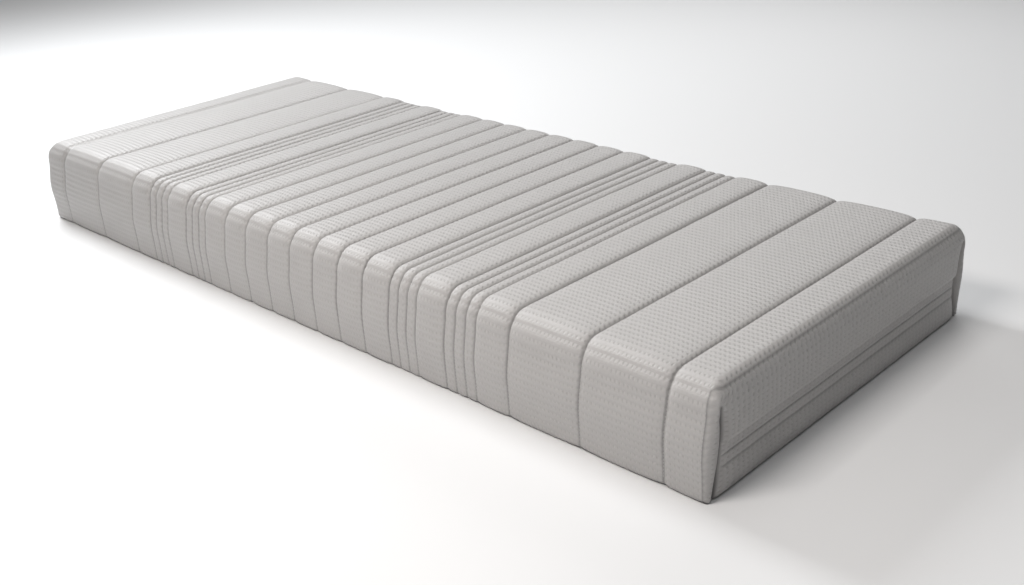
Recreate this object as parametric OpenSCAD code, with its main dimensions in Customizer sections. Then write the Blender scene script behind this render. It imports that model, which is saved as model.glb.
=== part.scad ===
// Single-size memory foam mattress with a quilted knitted cover.
// Frame: origin at the centre of the underside, +X towards the foot end,
// +Y towards the zip side, +Z up. Millimetres.

/* [Mattress] */
// Overall length, head end to foot end
length = 2000; // [1900:10:2200]
// Overall width
width = 800; // [700:10:1600]
// Overall height
height = 195; // [170:1:250]
// Rounding of the four top edges
top_edge_r = 30; // [20:1:40]
// Rounding of the four upright corners
corner_r = 16; // [13:1:30]

/* [Cover] */
// Thickness of the knitted outer fabric
knit_t = 1.5; // [1.2:0.1:2]
// Thickness of the fibre wadding
wadding_t = 8; // [8:0.5:10]
// Thickness of the quilt's backing cloth
backing_t = 0.8; // [0.5:0.1:1]
// Thickness of the underside's fabric
base_fabric_t = 1; // [0.8:0.1:1.5]
// Thickness of the fleece behind the underside's fabric
base_fleece_t = 2; // [1:0.5:4]
// Thickness of the inner sleeve around the foam
sleeve_t = 1; // [0.5:0.1:1.5]

/* [Quilting] */
// Width of an ordinary quilted channel
wide_channel = 74.5; // [60:0.5:80]
// Width of each narrow channel in the two groups
narrow_channel = 24.7; // [18:0.1:30]
// Width of the next channel out from the second narrow group
outer_channel = 78; // [60:1:90]
// Width of the broad channel beside the outer one
broad_channel = 156; // [120:1:165]
// Width of the last whole channel before an end
last_channel = 166; // [120:1:175]
// Heights of the seams across the two end faces
end_seam_z = [178, 92, 71, 51];
// Width of the valley that a seam pulls into the fabric
valley_w = 3; // [2:0.5:5]
// Depth of that valley
valley_d = 0.9; // [0.5:0.1:1]
// Width and thickness of the sewing thread line
thread_w = 1; // [0.5:0.1:1.5]
thread_t = 0.5; // [0.2:0.1:0.5]

/* [Foam] */
// Thickness of the memory foam layer
memory_foam_t = 50; // [30:5:80]
// Width of the cuts that soften the core's zones
cut_w = 6; // [4:1:10]
// Depth of those cuts
cut_d = 28; // [10:1:50]
// Distance between cuts in a soft zone
cut_pitch = 32; // [25:1:60]

/* [Zip] */
// Height of the zip's centre line
zip_z = 27; // [25:1:34]
// Height of the opening that the zip sits in
slot_h = 18; // [16:1:20]
// How far the zip's tapes lie inside the cover's face
tape_inset = 5.7; // [5:0.1:6]
// Distance of the zip's two ends from the outer faces
zip_end_gap = 40; // [30:1:80]
// Length of the pull tab
pull_l = 30; // [20:1:36]

/* [Hidden] */

arc_steps = 6;
eps = 0.01;
half_l = length / 2;
half_w = width / 2;
base_t = base_fabric_t + base_fleece_t;
wall_t = knit_t + wadding_t + backing_t;
foam_inset = wall_t + sleeve_t;
foam_z0 = base_t + sleeve_t;
foam_z1 = height - foam_inset;
core_z1 = foam_z1 - memory_foam_t;

// Distances of the seams from the mattress's middle, on one half
half_channels = [
    wide_channel, wide_channel, wide_channel, wide_channel,
    narrow_channel, narrow_channel, narrow_channel, wide_channel,
    narrow_channel, narrow_channel, narrow_channel, outer_channel,
    broad_channel, last_channel
];
function sum_to(v, n) = n < 0 ? 0 : v[n] + sum_to(v, n - 1);
half_seams = [for (i = [0:len(half_channels) - 1]) sum_to(half_channels, i)];
seams = concat([0], half_seams, [for (s = half_seams) -s]);

// Zip section, measured from the zip's centre line and the cover's face
tape_t = 0.6;
coil_gap = 0.7;
coil_h = 1.8;
coil_t = 2;
tape_grip = 8;
coil_inset = tape_inset + tape_t / 2 - coil_t / 2;
coil_top = coil_gap + coil_h;
zip_x1 = half_l - zip_end_gap;
zip_y0 = -(half_w - zip_end_gap);
slot_z0 = zip_z - slot_h / 2;
slot_z1 = zip_z + slot_h / 2;
stop_l = 4;
stop_gap = 12;
stop_x = zip_x1 - stop_gap;
stop_y = zip_y0 + stop_gap;

// Slider section; its plates run inside and outside the two coils
slider_x = stop_x - 26;
plate_t = 1.4;
plate_clear = 0.4;
plate_half_h = 3.9;
nose_half_h = 4.6;
flange_h = 0.9;
flange_t = 0.6;
post_w = 0.8;
coil_y = half_w - coil_inset;
plate_out_y = coil_y + plate_clear;
plate_in_y = coil_y - coil_t - plate_clear;
bail_half_l = 4.2;
bail_w = 1.6;
bail_bar = 1;
bail_leg = 1.4;
bail_hole = 1.4;
pull_t = 1;
pull_y = plate_out_y + plate_t + bail_hole / 2;
arm_gap = 0.3;
arm_w = 1.2;
pull_window = 5.6;
pull_half_w = 3.5;

// Corner and hem tapes lie between the knitted fabric and the wadding
tape_w = 12;
tape_depth = 1.2;
corner_tape_z0 = slot_z1 + 12;
corner_tape_z1 = height - top_edge_r - 2;

// Points of an arc, from angle a0 to angle a1
function arc(cx, cy, r, a0, a1) = [
    for (i = [0:arc_steps])
        let (a = a0 + (a1 - a0) * i / arc_steps)
        [cx + r * cos(a), cy + r * sin(a)]
];

// Upright section with rounded top edges, for a face inset by d
function section(half, d, z0) = concat(
    [[-(half - d), z0], [half - d, z0]],
    arc(half - top_edge_r, height - top_edge_r, top_edge_r - d, 0, 90),
    arc(-(half - top_edge_r), height - top_edge_r, top_edge_r - d, 90, 180)
);

// Plan outline with rounded upright corners, for a face inset by d
function outline(d) =
    let (r = max(corner_r - d, 1), x = half_l - d - r, y = half_w - d - r)
    concat(arc(x, y, r, 0, 90), arc(-x, y, r, 90, 180),
        arc(-x, -y, r, 180, 270), arc(x, -y, r, 270, 360));

// The mattress's outer form, inset by d, standing on height z0
module form(d, z0) {
    intersection() {
        linear_extrude(height) polygon(outline(d));
        rotate([90, 0, 90])
            linear_extrude(length, center = true) polygon(section(half_w, d, z0));
        rotate([90, 0, 0])
            linear_extrude(width, center = true) polygon(section(half_l, d, z0));
    }
}

// A layer of the cover between two insets, open underneath
module layer(d0, d1) {
    difference() {
        form(d0, base_t);
        form(d1, base_t - 1);
    }
}

// A box given by its two corners
module span(a, b) {
    translate(a) cube([b[0] - a[0], b[1] - a[1], b[2] - a[2]]);
}

// Flat ring that follows the plan outline between two insets
module ring(d0, d1, z0, z1) {
    translate([0, 0, z0]) linear_extrude(z1 - z0) difference() {
        polygon(outline(d0));
        polygon(outline(d1));
    }
}

// The L-shaped stretch of wall that the zip runs in: zip side and head end
module zip_stretch(z0, z1, x1, y0) {
    reach = corner_r + wall_t;
    span([-half_l - 1, half_w - reach, z0], [x1, half_w + 1, z1]);
    span([-half_l - 1, y0, z0], [-half_l + reach, half_w + 1, z1]);
}

// Part of a ring that lies in the zip's stretch
module zip_run(d0, d1, z0, z1, x1, y0) {
    intersection() {
        ring(d0, d1, z0, z1);
        zip_stretch(z0 - 1, z1 + 1, x1, y0);
    }
}

// Strips of the given width, one at every seam across the mattress
module seam_strips(w) {
    for (x = seams)
        translate([x, 0, height / 2]) cube([w, width + 2, height + 2], center = true);
}

// Strips of the given width at the seams across both end faces
module end_strips(w) {
    span_x = top_edge_r + 1;
    for (z = end_seam_z, side = [-1, 1])
        translate([side * (half_l - span_x / 2 + 1), 0, z])
            cube([span_x, width - 2 * corner_r, w], center = true);
}

// Where the seams may run on the walls: clear of the hem and the zip
module seam_zone() {
    hem = 6;
    span([-half_l - 1, -half_w - 1, base_t + hem], [half_l + 1, 0, height + 1]);
    span([-half_l - 1, 0, slot_z1 + hem], [half_l + 1, half_w + 1, height + 1]);
}

module seam_lines(w) {
    intersection() {
        union() {
            seam_strips(w);
            end_strips(w);
        }
        seam_zone();
    }
}

// Binding tape behind one upright corner seam, on the end face
module corner_tape(end, side) {
    x0 = half_l - knit_t - tape_depth;
    y0 = half_w - corner_r - tape_w;
    mirror([end < 0 ? 1 : 0, 0, 0]) mirror([0, side < 0 ? 1 : 0, 0])
        span([x0, y0, corner_tape_z0], [x0 + tape_depth, y0 + tape_w, corner_tape_z1]);
}

module corner_tapes() {
    for (end = [-1, 1], side = [-1, 1])
        corner_tape(end, side);
}

module hem_strip() {
    difference() {
        ring(knit_t, knit_t + tape_depth, base_t, base_t + tape_w);
        zip_stretch(0, height, zip_x1, zip_y0);
    }
}

module support_core() {
    zone_starts = [-820, -210, 430];
    cuts = 7;
    color("gainsboro") difference() {
        intersection() {
            form(foam_inset, foam_z0);
            span([-half_l, -half_w, foam_z0], [half_l, half_w, core_z1]);
        }
        for (x0 = zone_starts, i = [0:cuts - 1])
            translate([x0 + i * cut_pitch, 0, core_z1 - cut_d / 2 + eps])
                cube([cut_w, width, cut_d], center = true);
        for (x0 = zone_starts, i = [0:cuts - 2])
            translate([x0 + (i + 0.5) * cut_pitch, 0, foam_z0 + cut_d / 2 - eps])
                cube([cut_w, width, cut_d], center = true);
    }
}

module memory_foam() {
    color("lightyellow") intersection() {
        form(foam_inset, foam_z0);
        span([-half_l, -half_w, core_z1], [half_l, half_w, height]);
    }
}

// Thin stockinette sleeve, open at the head end where the foam goes in
module inner_sleeve() {
    mouth_rim = 18;
    color("whitesmoke") difference() {
        form(wall_t, base_t);
        form(foam_inset, foam_z0);
        span([-half_l, -half_w + wall_t + mouth_rim, foam_z0 + mouth_rim],
            [-half_l + foam_inset + 1, half_w - wall_t - mouth_rim, foam_z1 - mouth_rim]);
    }
}

module cover_knit() {
    color("ghostwhite") difference() {
        layer(0, knit_t);
        zip_stretch(base_t - 1, slot_z1, zip_x1, zip_y0);
        difference() {
            seam_lines(valley_w);
            form(valley_d, base_t - 1);
        }
    }
}

module cover_wadding() {
    color("white") difference() {
        layer(knit_t, knit_t + wadding_t);
        zip_stretch(base_t - 1, slot_z1, zip_x1, zip_y0);
        corner_tapes();
        hem_strip();
        upper_tape_run();
    }
}

module cover_backing() {
    color("lightgray") difference() {
        layer(knit_t + wadding_t, wall_t);
        zip_stretch(base_t - 1, slot_z1, zip_x1, zip_y0);
    }
}

module quilt_thread() {
    color("white") intersection() {
        layer(valley_d - thread_t, valley_d);
        seam_lines(thread_w);
    }
}

module corner_tape_foot_front() {
    color("white") corner_tape(1, -1);
}

module corner_tape_foot_back() {
    color("white") corner_tape(1, 1);
}

module corner_tape_head_front() {
    color("white") corner_tape(-1, -1);
}

module corner_tape_head_back() {
    color("white") corner_tape(-1, 1);
}

module hem_tape() {
    color("white") hem_strip();
}

// Underside: a fabric outside and a fleece inside, just within the walls
module base_sheet(z0, z1) {
    edge_in = 2;
    translate([0, 0, z0]) linear_extrude(z1 - z0) polygon(outline(edge_in));
}

module base_fabric() {
    color("silver") base_sheet(0, base_fabric_t);
}

module base_fleece() {
    color("white") base_sheet(base_fabric_t, base_t);
}

// Low strip of wall between the zip and the underside
module zip_border() {
    border_inset = 1;
    color("ghostwhite") difference() {
        zip_run(border_inset, wall_t, base_t, slot_z0, zip_x1, zip_y0);
        lower_tape_run();
    }
}

module upper_tape_run() {
    zip_run(tape_inset, tape_inset + tape_t, zip_z + coil_top, slot_z1 + tape_grip,
        zip_x1, zip_y0);
}

module lower_tape_run() {
    zip_run(tape_inset, tape_inset + tape_t, slot_z0 - tape_grip, zip_z - coil_top,
        zip_x1, zip_y0);
}

module zip_tape_upper() {
    color("white") upper_tape_run();
}

module zip_tape_lower() {
    color("white") lower_tape_run();
}

module coil_run(z0) {
    color("white")
        zip_run(coil_inset, coil_inset + coil_t, z0, z0 + coil_h, stop_x, stop_y);
}

module zip_coil_upper() {
    coil_run(zip_z + coil_gap);
}

module zip_coil_lower() {
    coil_run(zip_z - coil_top);
}

module zip_end_stop() {
    color("silver")
        span([stop_x, coil_y - coil_t, zip_z - coil_top],
            [stop_x + stop_l, coil_y, zip_z + coil_top]);
}

module zip_start_stop() {
    x1 = -(half_l - coil_inset);
    color("silver")
        span([x1, stop_y - stop_l, zip_z - coil_top], [x1 + coil_t, stop_y, zip_z + coil_top]);
}

// Blank satin label on the strip below the zip
module care_label() {
    label_x = -700;
    label_l = 40;
    label_t = 0.4;
    inset = 0.5;
    color("white")
        span([label_x, half_w - inset - label_t, base_t + 0.5],
            [label_x + label_l, half_w - inset, slot_z0 - 0.5]);
}

// One plate of the slider, broad at its nose, with a flange along each edge
module slider_plate(y0, flange_y) {
    rear = 5.5;
    nose = 6;
    shoulder = 2;
    translate([slider_x, y0 + plate_t, zip_z]) rotate([90, 0, 0])
        linear_extrude(plate_t) polygon([
            [-rear, -plate_half_h], [shoulder, -plate_half_h], [nose - 1, -nose_half_h],
            [nose, -nose_half_h + 1], [nose, nose_half_h - 1], [nose - 1, nose_half_h],
            [shoulder, plate_half_h], [-rear, plate_half_h]
        ]);
    for (side = [-1, 1])
        translate([slider_x + (shoulder - rear) / 2, flange_y,
            zip_z + side * (plate_half_h - flange_h / 2)])
            cube([shoulder + rear, flange_t, flange_h], center = true);
}

// Arch on the slider that the pull tab hangs on
module slider_bail() {
    y0 = plate_out_y + plate_t;
    span_h = bail_hole + bail_bar;
    translate([slider_x, 0, zip_z - bail_w / 2]) difference() {
        span([-bail_half_l, y0 - eps, 0], [bail_half_l, y0 + span_h, bail_w]);
        span([-bail_half_l + bail_leg, y0, -1],
            [bail_half_l - bail_leg, y0 + bail_hole, bail_w + 1]);
    }
}

module zip_slider() {
    post_x = 3.5;
    post_l = 2;
    color("silver") union() {
        slider_plate(plate_out_y, plate_out_y - flange_t / 2);
        slider_plate(plate_in_y - plate_t, plate_in_y + flange_t / 2);
        span([slider_x + post_x, plate_in_y - eps, zip_z - post_w / 2],
            [slider_x + post_x + post_l, plate_out_y + eps, zip_z + post_w / 2]);
        slider_bail();
    }
}

// Pull tab with a window at one end; its end bar turns under the slider's bail
module zip_pull() {
    arm_z = bail_w / 2 + arm_gap;
    color("silver") translate([slider_x, pull_y, zip_z]) union() {
        cylinder(h = 2 * (arm_z + arm_w), r = pull_t / 2, center = true, $fn = 32);
        for (side = [-1, 1])
            translate([-pull_window / 2, 0, side * (arm_z + arm_w / 2)])
                cube([pull_window + 2 * eps, pull_t, arm_w], center = true);
        span([-(pull_l - pull_half_w), -pull_t / 2, -pull_half_w],
            [-pull_window, pull_t / 2, pull_half_w]);
        translate([-(pull_l - pull_half_w), 0, 0]) rotate([90, 0, 0])
            cylinder(h = pull_t, r = pull_half_w, center = true, $fn = 48);
    }
}

support_core();
memory_foam();
inner_sleeve();
cover_knit();
cover_wadding();
cover_backing();
quilt_thread();
corner_tape_foot_front();
corner_tape_foot_back();
corner_tape_head_front();
corner_tape_head_back();
hem_tape();
base_fabric();
base_fleece();
zip_border();
zip_tape_upper();
zip_tape_lower();
zip_coil_upper();
zip_coil_lower();
zip_end_stop();
zip_start_stop();
care_label();
zip_slider();
zip_pull();
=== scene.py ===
"""Quilted memory foam mattress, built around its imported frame."""

import math

import bmesh
import bpy
from bpy.props import FloatProperty, FloatVectorProperty, PointerProperty
from mathutils import Matrix, Vector, noise


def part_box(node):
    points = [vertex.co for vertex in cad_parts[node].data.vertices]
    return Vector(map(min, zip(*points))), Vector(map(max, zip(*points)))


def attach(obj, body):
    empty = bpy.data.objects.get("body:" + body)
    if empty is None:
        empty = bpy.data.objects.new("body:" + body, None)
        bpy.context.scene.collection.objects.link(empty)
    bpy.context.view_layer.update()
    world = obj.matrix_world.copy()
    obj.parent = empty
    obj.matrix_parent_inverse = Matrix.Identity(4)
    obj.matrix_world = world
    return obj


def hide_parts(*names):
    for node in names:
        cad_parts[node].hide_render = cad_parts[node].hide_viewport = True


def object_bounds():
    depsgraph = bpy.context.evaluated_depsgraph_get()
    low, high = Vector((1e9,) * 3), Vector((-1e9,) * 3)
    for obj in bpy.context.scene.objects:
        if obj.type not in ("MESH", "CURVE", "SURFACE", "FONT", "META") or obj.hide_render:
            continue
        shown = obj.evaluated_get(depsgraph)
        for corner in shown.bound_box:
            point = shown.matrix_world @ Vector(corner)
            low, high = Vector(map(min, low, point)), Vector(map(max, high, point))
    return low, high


bl_info = {
    "name": "Quilted Mattress",
    "version": (1, 0, 0),
    "blender": (4, 5, 0),
    "location": "3D View > Sidebar > Mattress",
    "description": "Builds a quilted foam mattress piece by piece",
    "category": "Object",
}

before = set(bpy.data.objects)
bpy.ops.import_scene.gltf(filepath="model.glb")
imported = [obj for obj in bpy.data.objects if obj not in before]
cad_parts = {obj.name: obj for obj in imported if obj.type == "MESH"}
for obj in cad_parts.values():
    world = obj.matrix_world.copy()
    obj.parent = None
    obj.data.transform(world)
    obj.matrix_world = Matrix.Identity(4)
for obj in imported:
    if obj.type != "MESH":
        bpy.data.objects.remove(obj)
CAD_LOW, CAD_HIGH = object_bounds()
HALF_L = (CAD_HIGH.x - CAD_LOW.x) / 2
HALF_W = (CAD_HIGH.y - CAD_LOW.y) / 2
HEIGHT = CAD_HIGH.z
BODY = "mattress"
MM = 0.001
TINY = 1e-5

# The zip's places, from its nodes in the frame
ZIP_COIL_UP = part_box("zip_coil_upper")
ZIP_COIL_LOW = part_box("zip_coil_lower")
ZIP_Z = (ZIP_COIL_UP[1].z + ZIP_COIL_LOW[0].z) / 2
SLOT_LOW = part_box("zip_border")[1].z
SLOT_HIGH = 2 * ZIP_Z - SLOT_LOW
ZIP_X_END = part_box("zip_border")[1].x
ZIP_Y_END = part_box("zip_border")[0].y
ZIP_CORNER = 16 * MM
ZIP_TURN = ZIP_CORNER - (HALF_W - ZIP_COIL_UP[1].y) - 1 * MM

# The underside and the tapes
HEM_LIFT = 0.4 * MM
BASE_INSET = 8 * MM
HEM_INSET = 9 * MM
HEM_CORNER = 12 * MM
HEM_HEIGHT = 1.1 * MM
TAPE_X = HALF_L - 8 * MM

# The foam's play in the cover, its rounded edges, and the core's cuts
FOAM_GAP = 5 * MM
CORE_RADIUS = 12 * MM
LAYER_RADIUS = 38 * MM
SLEEVE_RADIUS = 39 * MM
CUT_STARTS = (-820 * MM, -210 * MM, 430 * MM)
CUTS_IN_GROUP = 7
CUT_PITCH = 32 * MM
CUT_HALF = 3 * MM
CUT_DEPTH = 28 * MM

# Stitches and teeth
BEADS_AT_ONCE = 100
STITCH_STEP = 6 * MM


# --------------------------------------------------------------- sizes

class CoverSizes(bpy.types.PropertyGroup):
    wide_channel: FloatProperty(
        name="Channel", description="Width of an ordinary quilted channel",
        default=74.5 * MM, unit="LENGTH")
    narrow_channel: FloatProperty(
        name="Narrow channel", description="Width of a channel in a narrow group",
        default=24.7 * MM, unit="LENGTH")
    outer_channel: FloatProperty(
        name="Outer channel", description="Width of the channel outside the groups",
        default=78 * MM, unit="LENGTH")
    broad_channel: FloatProperty(
        name="Broad channel", description="Width of the broad channel beside the outer one",
        default=156 * MM, unit="LENGTH")
    last_channel: FloatProperty(
        name="Last channel", description="Width of the last whole channel before an end",
        default=166 * MM, unit="LENGTH")
    crown: FloatProperty(
        name="Crown", description="Height of an ordinary channel over its seams",
        default=11.5 * MM, unit="LENGTH")
    narrow_crown: FloatProperty(
        name="Narrow crown", description="Height of a narrow channel over its seams",
        default=8 * MM, unit="LENGTH")
    side_crown: FloatProperty(
        name="Side crown", description="Bulge of the channels down the long sides",
        default=7 * MM, unit="LENGTH")
    end_crown: FloatProperty(
        name="End crown", description="Bulge of the broad channels across the ends",
        default=9 * MM, unit="LENGTH")
    edge_radius: FloatProperty(
        name="Top edge", description="Rounding of the top edges along the long sides",
        default=40 * MM, unit="LENGTH")
    foot_radius: FloatProperty(
        name="Foot edge", description="Rounding of the top edge across the foot end",
        default=14 * MM, unit="LENGTH")
    head_radius: FloatProperty(
        name="Head edge", description="Rounding of the top edge across the head end",
        default=26 * MM, unit="LENGTH")
    row_step: FloatProperty(
        name="Mesh step", description="Distance of the mesh rows across the width",
        default=10 * MM, unit="LENGTH")


class ClothSizes(bpy.types.PropertyGroup):
    colour: FloatVectorProperty(
        name="Colour", description="Colour of the knitted cover",
        subtype="COLOR", size=3, default=(0.50, 0.486, 0.476))
    dash_u: FloatProperty(
        name="Dimple step", description="Distance of the knit's dimples along a row",
        default=8.4 * MM, unit="LENGTH")
    dash_v: FloatProperty(
        name="Row step", description="Distance of the knit's rows",
        default=12.3 * MM, unit="LENGTH")
    relief: FloatProperty(
        name="Relief", description="Depth of the knit's dimples",
        default=0.9 * MM, unit="LENGTH")
    base_colour: FloatVectorProperty(
        name="Base colour", description="Colour of the underside's cloth",
        subtype="COLOR", size=3, default=(0.42, 0.42, 0.43))
    tape_colour: FloatVectorProperty(
        name="Tape colour", description="Colour of the binding tapes and the sleeve",
        subtype="COLOR", size=3, default=(0.46, 0.45, 0.44))
    label_colour: FloatVectorProperty(
        name="Label colour", description="Colour of the care label",
        subtype="COLOR", size=3, default=(0.75, 0.75, 0.74))
    core_colour: FloatVectorProperty(
        name="Core colour", description="Colour of the supporting foam",
        subtype="COLOR", size=3, default=(0.72, 0.74, 0.76))
    memory_colour: FloatVectorProperty(
        name="Memory foam colour", description="Colour of the memory foam",
        subtype="COLOR", size=3, default=(0.80, 0.74, 0.56))


class ThreadSizes(bpy.types.PropertyGroup):
    stitch: FloatProperty(
        name="Stitch", description="Length of one stitch",
        default=4.8 * MM, unit="LENGTH")
    thick: FloatProperty(
        name="Thread", description="Thickness of the thread",
        default=0.8 * MM, unit="LENGTH")
    colour: FloatVectorProperty(
        name="Thread colour", description="Colour of the quilting thread",
        subtype="COLOR", size=3, default=(0.55, 0.545, 0.54))


class ZipSizes(bpy.types.PropertyGroup):
    tooth: FloatProperty(
        name="Tooth step", description="Distance of the zip's teeth",
        default=1.5 * MM, unit="LENGTH")
    coil_colour: FloatVectorProperty(
        name="Coil colour", description="Colour of the zip's nylon teeth",
        subtype="COLOR", size=3, default=(0.68, 0.68, 0.67))
    tape_colour: FloatVectorProperty(
        name="Zip tape colour", description="Colour of the zip's tapes",
        subtype="COLOR", size=3, default=(0.58, 0.57, 0.56))
    metal_colour: FloatVectorProperty(
        name="Metal colour", description="Colour of the plated slider and stops",
        subtype="COLOR", size=3, default=(0.78, 0.77, 0.75))


class StageSizes(bpy.types.PropertyGroup):
    lens: FloatProperty(
        name="Lens", description="Focal length in millimetres", default=42.05)
    azimuth: FloatProperty(
        name="Azimuth", description="Camera's direction round the object",
        default=math.radians(45.3275), subtype="ANGLE")
    elevation: FloatProperty(
        name="Elevation", description="Camera's height angle",
        default=math.radians(24.6193), subtype="ANGLE")
    roll: FloatProperty(
        name="Roll", description="Camera's turn about its own axis",
        default=math.radians(-3.5107), subtype="ANGLE")
    distance: FloatProperty(
        name="Distance", description="Camera's distance from its target",
        default=2.4724, unit="LENGTH")
    target: FloatVectorProperty(
        name="Target", description="Point that the camera looks at",
        subtype="TRANSLATION", size=3, default=(0.2506, -0.0352, 0.0))


# --------------------------------------------------------------- quilt

def half_seams(sizes):
    """Distances of the seams from the middle of the mattress, on one half."""
    widths = ([sizes.wide_channel] * 4 + [sizes.narrow_channel] * 3
              + [sizes.wide_channel] + [sizes.narrow_channel] * 3
              + [sizes.outer_channel, sizes.broad_channel, sizes.last_channel])
    places, x = [0.0], 0.0
    for width in widths:
        x += width
        places.append(x)
    return places


# Heights of the seams across the ends, and the box that all seams lie on
END_SEAMS_Z = (178 * MM, 92 * MM, 71 * MM, 51 * MM, 31 * MM)
SEAM_LEVEL = 183.5 * MM
SEAM_HALF_L = HALF_L - 1 * MM
SEAM_HALF_W = HALF_W - 5 * MM
# How square the upright corners are: 2 is round
CORNER_POWER = 8.0
WALL_FOOT = 4 * MM

# The slit in the end face's cloth beside each upright corner
SLIT_TOP = 160 * MM
SLIT_AT = 20 * MM
SLIT_HALF = 1.5 * MM
SLIT_DEPTH = 15 * MM
SLIT_REACH = 70 * MM
SLIT_LIP = 3 * MM
SLIT_WIDEST = 21 * MM
SLIT_WIDEST_Z = 90 * MM

# Bulge of the end faces, how far the seam group draws in, and its narrow ribs
END_BASE = 4 * MM
END_PINCH = 3 * MM
END_RIB = 2.6 * MM

# How the cloth rises beside a seam: over what length, and its share in a broad channel
SEAM_RISE = 3.2 * MM
STEEP_SHARE = 0.55
# Shares of the full height that are left in a seam: in the end's top edge, and below it
EDGE_KEPT = 0.86
END_KEPT = 0.35

# Slow unevenness of the cloth, and the small pulls beside its seams
WAVE = 0.9 * MM
PUCKER = 0.35 * MM

# The long walls lean out below these heights, and draw in above them
LEAN_TOP = 172 * MM
LEAN_LOW = 70 * MM
LEAN_OUT = 13 * MM
LEAN_IN = 6 * MM
LEAN_BAND = 60 * MM

# Floor of the pocket that the zip lies in
POCKET_Y = 390.4 * MM
POCKET_X = HALF_L - (HALF_W - POCKET_Y)


def smooth(low, high, value):
    """0 at low, 1 at high, and a smooth step between them."""
    t = min(1.0, max(0.0, (value - low) / (high - low)))
    return t * t * (3 - 2 * t)


def dome(u):
    """Puffed section of a sewn channel: 0 at its seams, near 1 over its middle."""
    return (1 - abs(2 * u - 1) ** 2.8) ** 0.66


def slit_offset(z):
    """Distance of the corner's slit from the upright corner, at height z."""
    if z > SLIT_WIDEST_Z:
        above = min(1.1, (z - SLIT_WIDEST_Z) / (65 * MM))
        return SLIT_WIDEST - 9 * MM * above ** 2
    below = 1 - max(z, 0.0) / SLIT_WIDEST_Z
    return SLIT_WIDEST - 14 * MM * below ** 1.6


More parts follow.
